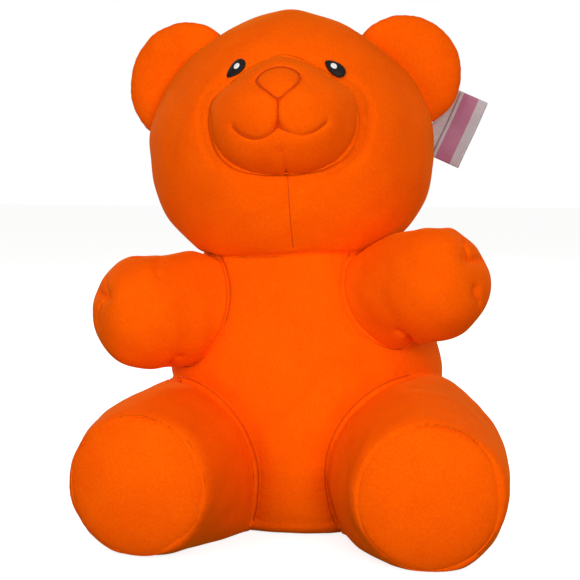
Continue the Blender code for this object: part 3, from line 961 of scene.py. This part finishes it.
def makeMuzzle():
    # rings from the snout's middle out to the seam, then back in just under the head's surface
    step = np.linspace(0.0, 1.0, muzzle["rows"])[:, None]
    step, turn = np.broadcast_arrays(step, fullTurn(muzzle["columns"])[None, :])
    rimAt = muzzle["rimAt"]
    front = np.sin(np.clip(step / rimAt, 0.0, 1.0) * math.pi / 2)
    radius = np.where(step <= rimAt, front, (1.0 - step) / (1.0 - rimAt))
    reach = radius * muzzleEdge(turn)
    across, up = reach * np.cos(turn), muzzle["height"] + reach * np.sin(turn)
    behind = np.stack((across, headFace(across, up) + 0.003 * ramp(rimAt, rimAt + 0.04, step), up),
                      axis=-1)
    grid = fromHead(np.where((step <= rimAt)[..., None], muzzleAt(radius, turn), behind))
    grid = lumps(grid, 61, large=0.0008)
    seams = [seamOf(muzzleLoop(1.0), 0.0010, 0.0010, 0.006, 0.0002)]
    seams += [seamOf(curve, 0.0013, 0.0009, 0.0045, width=0.0015) for curve in faceCurves.values()]
    finishStuffed("muzzle", sewIn(grid, seams))


headGrid = makeHead()
makeTorso()
for name, arm in arms.items():
    makeArm(name, arm)
for name, leg in legs.items():
    makeLeg(name, leg)
    makeSole(name.replace("leg", "sole"), leg)
for name in ears:
    makeEar(name)
makeMuzzle()
print("stuffed pieces made")


# eyes

eyes = {
    # slant: how far the patch leans outwards from upright
    "right": {"place": (-0.0350, 0.0560), "slant": -47.0, "taper": 0.30},
    "left": {"place": (0.0388, 0.0532), "slant": 52.0, "taper": -0.26},
}
eyeShape = {
    "size": (0.0178, 0.0090), "base": 0.0004, "lift": 0.0014, "thickness": 0.0012,
    "glint": (0.0058, 0.0040), "glintBase": 0.0013, "glintLift": 0.0008, "glintShift": 0.0016,
    "rimAt": 0.7,  # share of the rows that end at the patch's edge
    "rows": 44, "columns": 72,
}


def eyePatch(eye, length, width, taper, low, lift, shift):
    # a disc stretched to a drop, laid on the head; it swells as (1 - r^2.5)^0.5 off its base height
    slant = math.radians(eye["slant"])
    turn = fullTurn(eyeShape["columns"])[None, :]
    step = np.linspace(0.0, 1.0, eyeShape["rows"])[:, None]
    rimAt = eyeShape["rimAt"]
    radius = np.where(step < rimAt, np.sin(step / rimAt * math.pi / 2), (1.0 - step) / (1.0 - rimAt))
    along = radius * np.sin(turn) * length / 2
    wide = radius * np.cos(turn) * width / 2 * (1.0 + taper * np.sin(turn) * radius)
    across = eye["place"][0] + wide * math.cos(slant) - (along + shift) * math.sin(slant)
    up = eye["place"][1] + (along + shift) * math.cos(slant) + wide * math.sin(slant)
    height = np.where(step < rimAt, low + lift * np.clip(1 - radius**2.5, 0, 1) ** 0.5,
                      low - eyeShape["thickness"])
    world = onFace(across, up)
    return world + slopeOf(headOutside, world) * height[..., None]


for side, eye in eyes.items():
    dark = closedSkin("eyePatch_" + side, eyePatch(
        eye, *eyeShape["size"], eye["taper"], eyeShape["base"], eyeShape["lift"], 0.0), eyeThread)
    light = closedSkin("glintPatch_" + side, eyePatch(
        eye, *eyeShape["glint"], 0.0, eyeShape["glintBase"], eyeShape["glintLift"],
        eyeShape["glintShift"]), glintThread)
    for piece, replaced, slot in ((dark, "eye_", "eye_thread"), (light, "eye_glint_", "glint_thread")):
        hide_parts(replaced + side)
        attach(piece, "root")
print("eyes made")


# embroidered lines of the face

def muzzleOut(curve):
    # the dome's outward direction at a face line, from two steps across the dome
    local = toHead(curve)
    step = 0.0004
    across, up = local[:, 0], local[:, 2]
    beside = onMuzzle(across + step, up) - onMuzzle(across - step, up)
    above = onMuzzle(across, up + step) - onMuzzle(across, up - step)
    return unit(np.cross(beside, above)) @ headFrame.T


def onSkin(curve, grid, depth):
    # keeps a curve's place as seen from the front and takes its y from the finished skin, smoothed
    y = onFront(grid, curve[:, [0, 2]])[:, 1]
    y = np.convolve(np.pad(y, 6, mode="edge"), np.full(13, 1 / 13), mode="valid")
    return np.column_stack((curve[:, 0], y + depth, curve[:, 2]))


# the face lines are sewn channels; their thread tubes are darker than the plush, partly thread colour
# and partly painted shade of the channels
facePaths = [(onSkin(throatLine()[2:], headGrid, 0.00012), False)]
for name, curve in faceCurves.items():
    closed = name == "nose"
    path = curve - muzzleOut(curve) * 0.0014
    facePaths.append((path[:-1] if closed else path, closed))
# seam thread lies in the groove round each limb, a little under the torso's surface; its darker orange
# is painted shade of the seam's groove, and it is drawn on the front run only
limbPaths = []
for name in [*arms, *legs]:
    seam = limbSeams[name][:-1]
    outward = slopeOf(torsoOutside, seam)
    shown = (seam[:, 2] > 0.010) & (outward[:, 1] < -0.62)
    sunk = (seam - outward * 0.0014)[shown]
    gap = np.linalg.norm(np.roll(sunk, -1, axis=0) - sunk, axis=1)
    sunk = np.roll(sunk, -gap.argmax() - 1, axis=0)
    # the run in front only: it stops at the next jump, where the seam turns out of sight
    jump = np.linalg.norm(np.diff(sunk, axis=0), axis=1) > 0.01
    limbPaths.append((sunk[:np.argmax(jump) + 1] if jump.any() else sunk, False))
threadRadius = {"limb": 0.00032, "face": 0.00045}
for name, paths in (("limb", limbPaths), ("face", facePaths)):
    stitching = tubes(name + "Stitching", paths, threadRadius[name], threadAndGrooveShade)
    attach(stitching, "root")
print("stitching made")


# label

label = {
    "length": 0.057, "width": 0.022, "back": 0.034, "thickness": 0.0003, "fold": 0.0024,
    "place": np.array((0.1285, 0.0340, 0.3060)), "slant": 24.0, "turn": -10.0,
    "band": (0.27, 0.84),  # where the coloured field starts and ends across the front leaf
}


def makeLabel():
    # a ribbon carried along a hairpin: the back leaf, a half circle and the front leaf, with a slow
    # curl along its length; each face is offset by half the ribbon's thickness
    frameOf = turned(label["turn"], label["slant"])
    turn = label["fold"] / 2
    bend = np.linspace(0.0, math.pi, 13)
    leaf = 24
    backAcross = np.linspace(-label["back"], 0.0, leaf, endpoint=False)
    frontAcross = np.linspace(0.0, -label["width"], leaf + 1)[1:]
    across = np.concatenate((backAcross, turn * np.sin(bend), frontAcross))
    ahead = np.concatenate((np.full(leaf, turn), turn * np.cos(bend), np.full(leaf, -turn)))
    # the leaves part a little towards their open side
    ahead = ahead + np.where(ahead < 0, -1, 0) * 0.0012 * ramp(0.0, -label["width"], across)
    lengthwise = np.linspace(-0.5, 0.5, 50) * label["length"]
    curl = 0.0012 * np.sin(lengthwise * 55.0) + 0.0008 * np.sin(lengthwise * 120.0 + 1.0)
    middle = np.stack(np.broadcast_arrays(across[None, :], ahead[None, :] + curl[:, None],
                                          lengthwise[:, None]), axis=-1)
    normals = unit(np.cross(np.gradient(middle, axis=0), np.gradient(middle, axis=1)))
    half = label["thickness"] / 2
    outer, inner = middle + normals * half, middle - normals * half
    rows, columns = middle.shape[:2]
    points = np.concatenate((outer.reshape(-1, 3), inner.reshape(-1, 3))) @ frameOf.T + label["place"]
    at = np.arange(rows * columns).reshape(rows, columns)
    face = np.stack((at[:-1, :-1], at[1:, :-1], at[1:, 1:], at[:-1, 1:]), axis=-1).reshape(-1, 4)
    under = face[:, ::-1] + rows * columns
    ring = np.concatenate((at[0, :], at[1:, -1], at[-1, -2::-1], at[-2:0:-1, 0]))
    after = np.roll(ring, -1)
    rim = np.stack((ring, after, after + rows * columns, ring + rows * columns), axis=-1)
    faces = np.concatenate((face, under, rim))
    piece = makeMesh("ribbonLabel", points, faces.tolist(), satinWhite)
    piece.data.materials.append(satinMauve)
    low, high = label["band"]
    share = -across / label["width"]
    isFront = np.arange(columns) > leaf + len(bend) - 1
    inBand = (isFront & (share > low) & (share < high))[:-1]
    band = np.zeros(len(faces), np.int32)
    band[:len(face)] = np.tile(inBand, rows - 1)
    piece.data.polygons.foreach_set("material_index", band)
    return piece


satinWhite = satinRibbon("satinWhite", ("A8A2A4", "C4BEC0"))
satinMauve = satinRibbon("satinMauve", ("A05C78", "B46E8A"))
ribbon = makeLabel()
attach(ribbon, "root")
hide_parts("label")
print("label made")


# studio

studio = {"azimuth": 8.0, "pitch": 5.476, "distance": 1.23, "height": 0.300, "aside": -0.0145,
          "focal": 95.43, "sky": 0.28}


def standAt(name, held, place, axes):
    # a camera or lamp at a place, turned to three axes of its own
    stand = bpy.data.objects.new(name, held)
    stand.matrix_world = Matrix.Translation(place) @ Matrix(np.column_stack(axes).tolist()).to_4x4()
    bpy.context.scene.collection.objects.link(stand)
    return stand


def makeStudio():
    around, down = math.radians(studio["azimuth"]), math.radians(studio["pitch"])
    right = np.array((math.cos(around), math.sin(around), 0.0))
    forward = np.array((-math.sin(around), math.cos(around), 0.0))
    place = studio["aside"] * right - studio["distance"] * forward + (0, 0, studio["height"])
    view = forward * math.cos(down) - upright * math.sin(down)
    camera = bpy.data.cameras.new("camera")
    camera.lens, camera.sensor_width = studio["focal"], 36.0
    bpy.context.scene.camera = standAt("camera", camera, place, (right, np.cross(right, view), -view))

    lamps = (
        # name, place, aim, size, watts
        ("key", (0.68, -1.85, 0.60), (0.0, -0.05, 0.25), 0.9, 24.0),
        ("fill", (-1.0, -1.7, 0.50), (0.0, 0.0, 0.25), 0.8, 12.0),
        ("top", (0.0, 0.2, 1.9), (0.0, 0.0, 0.2), 1.6, 4.0),
        ("backRight", (1.3, 1.7, 0.9), (0.0, 0.05, 0.2), 1.0, 16.0),
        ("backLeft", (-1.5, 1.4, 0.7), (0.0, 0.05, 0.2), 1.0, 16.0),
    )
    for name, spot, aim, size, watts in lamps:
        lamp = bpy.data.lights.new(name, "AREA")
        lamp.shape, lamp.size, lamp.energy, lamp.color = "DISK", size, watts, (1.0, 1.0, 1.0)
        back = unit(np.array(spot) - np.array(aim))
        side = unit(np.cross(upright, back))
        standAt(name, lamp, spot, (side, np.cross(back, side), back))

    world = bpy.data.worlds.new("studio")
    bpy.context.scene.world = world
    world.use_nodes = True
    tree = world.node_tree
    # the camera sees a white backdrop, and the object is lit by a dimmer one
    seen = add(tree, "ShaderNodeLightPath").outputs["Is Camera Ray"]
    strength = add(tree, "ShaderNodeMapRange", {"Value": seen, "To Min": studio["sky"], "To Max": 1.0})
    backdrop = tree.nodes["Background"].inputs
    tree.links.new(strength.outputs[0], backdrop["Strength"])
    backdrop["Color"].default_value = (1.0, 1.0, 1.0, 1.0)
    bpy.context.scene.view_settings.view_transform = "Standard"

    # pale card, lit from within for the camera only, so that it stays white without glowing upwards
    made, tree, output = newMaterial("paleFloor")
    card = add(tree, "ShaderNodeBsdfDiffuse", {"Color": linear("C8C7C5")})
    glow = add(tree, "ShaderNodeEmission", {"Color": linear("FFFFFF"), "Strength": 0.80})
    both = add(tree, "ShaderNodeAddShader", {0: card.outputs[0], 1: glow.outputs[0]})
    dim = add(tree, "ShaderNodeBsdfDiffuse", {"Color": linear("5E5D5B")})
    seen = add(tree, "ShaderNodeLightPath").outputs["Is Camera Ray"]
    shown = add(tree, "ShaderNodeMixShader", {0: seen, 1: dim.outputs[0], 2: both.outputs[0]})
    tree.links.new(shown.outputs[0], output.inputs["Surface"])
    corners = 6.0 * np.array(((-1, -1, 0), (1, -1, 0), (1, 1, 0), (-1, 1, 0)))
    floor = makeMesh("floor", corners, [[0, 1, 2, 3]], made)


makeStudio()
print("studio made")
